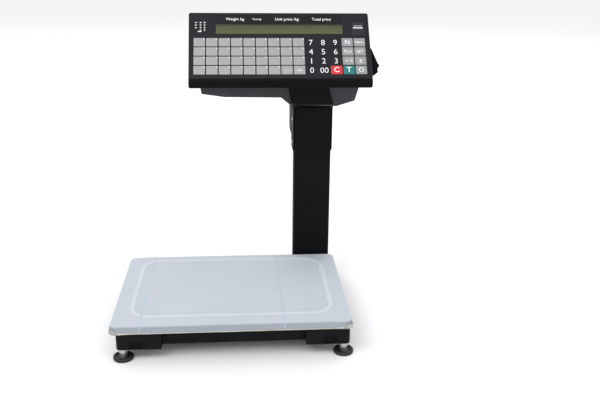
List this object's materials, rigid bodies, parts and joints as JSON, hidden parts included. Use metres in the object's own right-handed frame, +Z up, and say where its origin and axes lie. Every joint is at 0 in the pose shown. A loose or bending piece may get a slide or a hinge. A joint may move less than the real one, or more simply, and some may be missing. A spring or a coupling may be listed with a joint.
{
  "type": "retail price scale",
  "caption": "Label-printing retail price scale: flat weighing platform on a low base, with a keypad console on a rear column.",
  "frame": {"origin": "bottom centre of the scale at the floor", "axes": "+Z up, +X to the right of a person at the keypad, +Y from the keypad to the rear"},
  "size_m": [0.398, 0.3562, 0.4522],
  "materials": {
    "black_plastic": "fine texture",
    "grey_plastic": "fine texture",
    "base_plastic": "fine texture",
    "overlay": "printed polyester film",
    "film": "clear bluish protective film",
    "platform_steel": "brushed",
    "black_steel": "powder coat",
    "zinc": "zinc plated",
    "aluminium": "milled",
    "rubber": "moulded",
    "lcd_glass": "olive reflective display",
    "clear": "clear",
    "board": "circuit board",
    "paper": "label paper",
    "white_plastic": "moulded",
    "lead": "sheathed lead"
  },
  "bodies": {
    "scale": {"base_shell": "base_plastic", "base_front_plugs": "base_plastic", "base_frame": "zinc", "base_bottom_cover": "zinc", "bottom_cover_screws": "zinc", "foot_locknuts": "zinc", "load_cell": "aluminium", "load_cell_spacers": "aluminium", "frame_bolts": "zinc", "platform_support": "black_steel", "platform_support_pads": "rubber", "level_cup": "black_plastic", "level_vial": "clear", "column_tube": "black_steel", "column_foot": "black_steel", "front_bezel": "black_plastic", "keypad_overlay": "overlay", "keypad_switch_board": "board", "seller_display_lens": "lcd_glass", "seller_lcd_module": "board", "main_board": "board", "console_rear_shell": "black_plastic", "console_lower_shell": "black_plastic", "printer_housing": "grey_plastic", "head_bracket": "black_steel", "bracket_screws": "black_steel", "neck_cover": "black_plastic", "customer_display_lens": "lcd_glass", "customer_lcd_module": "board", "dc_inlet": "black_plastic", "serial_port": "zinc", "power_switch_frame": "black_plastic", "door_hinge_pin": "zinc", "roll_spindle": "zinc", "printer_frame": "zinc", "stepper_motor": "black_steel", "peel_bar": "zinc", "outlet_hood": "black_plastic", "load_cell_lead": "lead", "shell_screws": "black_steel"},
    "platform": {"platform": "platform_steel", "protective_film": "film"},
    "label_roll": {"roll_hub": "white_plastic", "label_roll": "paper"},
    "platen": {"platen_shaft": "zinc", "platen_rubber": "rubber", "platen_gear": "white_plastic"},
    "motor_rotor": {"motor_pinion": "zinc"},
    "print_head": {"print_head_arm": "black_steel", "thermal_head": "aluminium"},
    "roll_door": {"roll_door": "black_plastic"},
    "power_rocker": {"power_rocker": "black_plastic"},
    "foot_pad_front_left": {"foot_pad_front_left": "rubber"},
    "foot_stud_front_left": {"foot_stud_front_left": "zinc"},
    "foot_pad_front_right": {"foot_pad_front_right": "rubber"},
    "foot_stud_front_right": {"foot_stud_front_right": "zinc"},
    "foot_pad_rear_left": {"foot_pad_rear_left": "rubber"},
    "foot_stud_rear_left": {"foot_stud_rear_left": "zinc"},
    "foot_pad_rear_right": {"foot_pad_rear_right": "rubber"},
    "foot_stud_rear_right": {"foot_stud_rear_right": "zinc"}
  },
  "joints": [
    {"name": "foot_height_front_left", "type": "slide", "parent": "scale", "child": "foot_pad_front_left", "axis": [0, 0, -1], "range_m": [0, 0.006]},
    {"name": "foot_turn_front_left", "type": "hinge", "parent": "foot_pad_front_left", "child": "foot_stud_front_left", "pos_m": [-0.18405, -0.1639, 0.003], "axis": [0, 0, 1], "range_deg": [0, 1729]},
    {"name": "foot_height_front_right", "type": "slide", "parent": "scale", "child": "foot_pad_front_right", "axis": [0, 0, -1], "range_m": [0, 0.006]},
    {"name": "foot_turn_front_right", "type": "hinge", "parent": "foot_pad_front_right", "child": "foot_stud_front_right", "pos_m": [0.12695, -0.1639, 0.003], "axis": [0, 0, 1], "range_deg": [0, 1729]},
    {"name": "foot_height_rear_left", "type": "slide", "parent": "scale", "child": "foot_pad_rear_left", "axis": [0, 0, -1], "range_m": [0, 0.006]},
    {"name": "foot_turn_rear_left", "type": "hinge", "parent": "foot_pad_rear_left", "child": "foot_stud_rear_left", "pos_m": [-0.18405, 0.1191, 0.003], "axis": [0, 0, 1], "range_deg": [0, 1729]},
    {"name": "foot_height_rear_right", "type": "slide", "parent": "scale", "child": "foot_pad_rear_right", "axis": [0, 0, -1], "range_m": [0, 0.006]},
    {"name": "foot_turn_rear_right", "type": "hinge", "parent": "foot_pad_rear_right", "child": "foot_stud_rear_right", "pos_m": [0.12695, 0.1191, 0.003], "axis": [0, 0, 1], "range_deg": [0, 1729]},
    {"name": "platform_lift", "type": "slide", "parent": "scale", "child": "platform", "axis": [0, 0, 1], "range_m": [0, 0.06]},
    {"name": "roll_spin", "type": "hinge", "parent": "scale", "child": "label_roll", "pos_m": [0.03095, 0.0991, 0.369], "axis": [0, 1, 0], "continuous": true},
    {"name": "platen_spin", "type": "hinge", "parent": "scale", "child": "platen", "pos_m": [0.15695, 0.0931, 0.372], "axis": [0, 1, 0], "continuous": true},
    {"name": "motor_spin", "type": "hinge", "parent": "scale", "child": "motor_rotor", "pos_m": [0.13615, 0.0931, 0.35575], "axis": [0, 1, 0], "continuous": true},
    {"name": "print_head_lift", "type": "hinge", "parent": "scale", "child": "print_head", "pos_m": [0.12695, 0.1231, 0.396], "axis": [0, -1, 0], "range_deg": [0, 20], "stiffness_Nm_per_rad": 0.3, "springref_deg": -11.46},
    {"name": "roll_door_hinge", "type": "hinge", "parent": "scale", "child": "roll_door", "pos_m": [0.03095, 0.1757, 0.4033], "axis": [1, 0, 0], "range_deg": [0, 95]},
    {"name": "power_rocker_tilt", "type": "hinge", "parent": "scale", "child": "power_rocker", "pos_m": [0.08695, 0.1706, 0.372], "axis": [0, 0, 1], "range_deg": [-8, 8]}
  ],
  "couplings": [
    {"joint": "foot_turn_front_left", "follows": "foot_height_front_left", "rad_per_m": 5026.5},
    {"joint": "foot_turn_front_right", "follows": "foot_height_front_right", "rad_per_m": 5026.5},
    {"joint": "foot_turn_rear_left", "follows": "foot_height_rear_left", "rad_per_m": 5026.5},
    {"joint": "foot_turn_rear_right", "follows": "foot_height_rear_right", "rad_per_m": 5026.5},
    {"joint": "motor_spin", "follows": "platen_spin", "ratio": -2.6667}
  ]
}
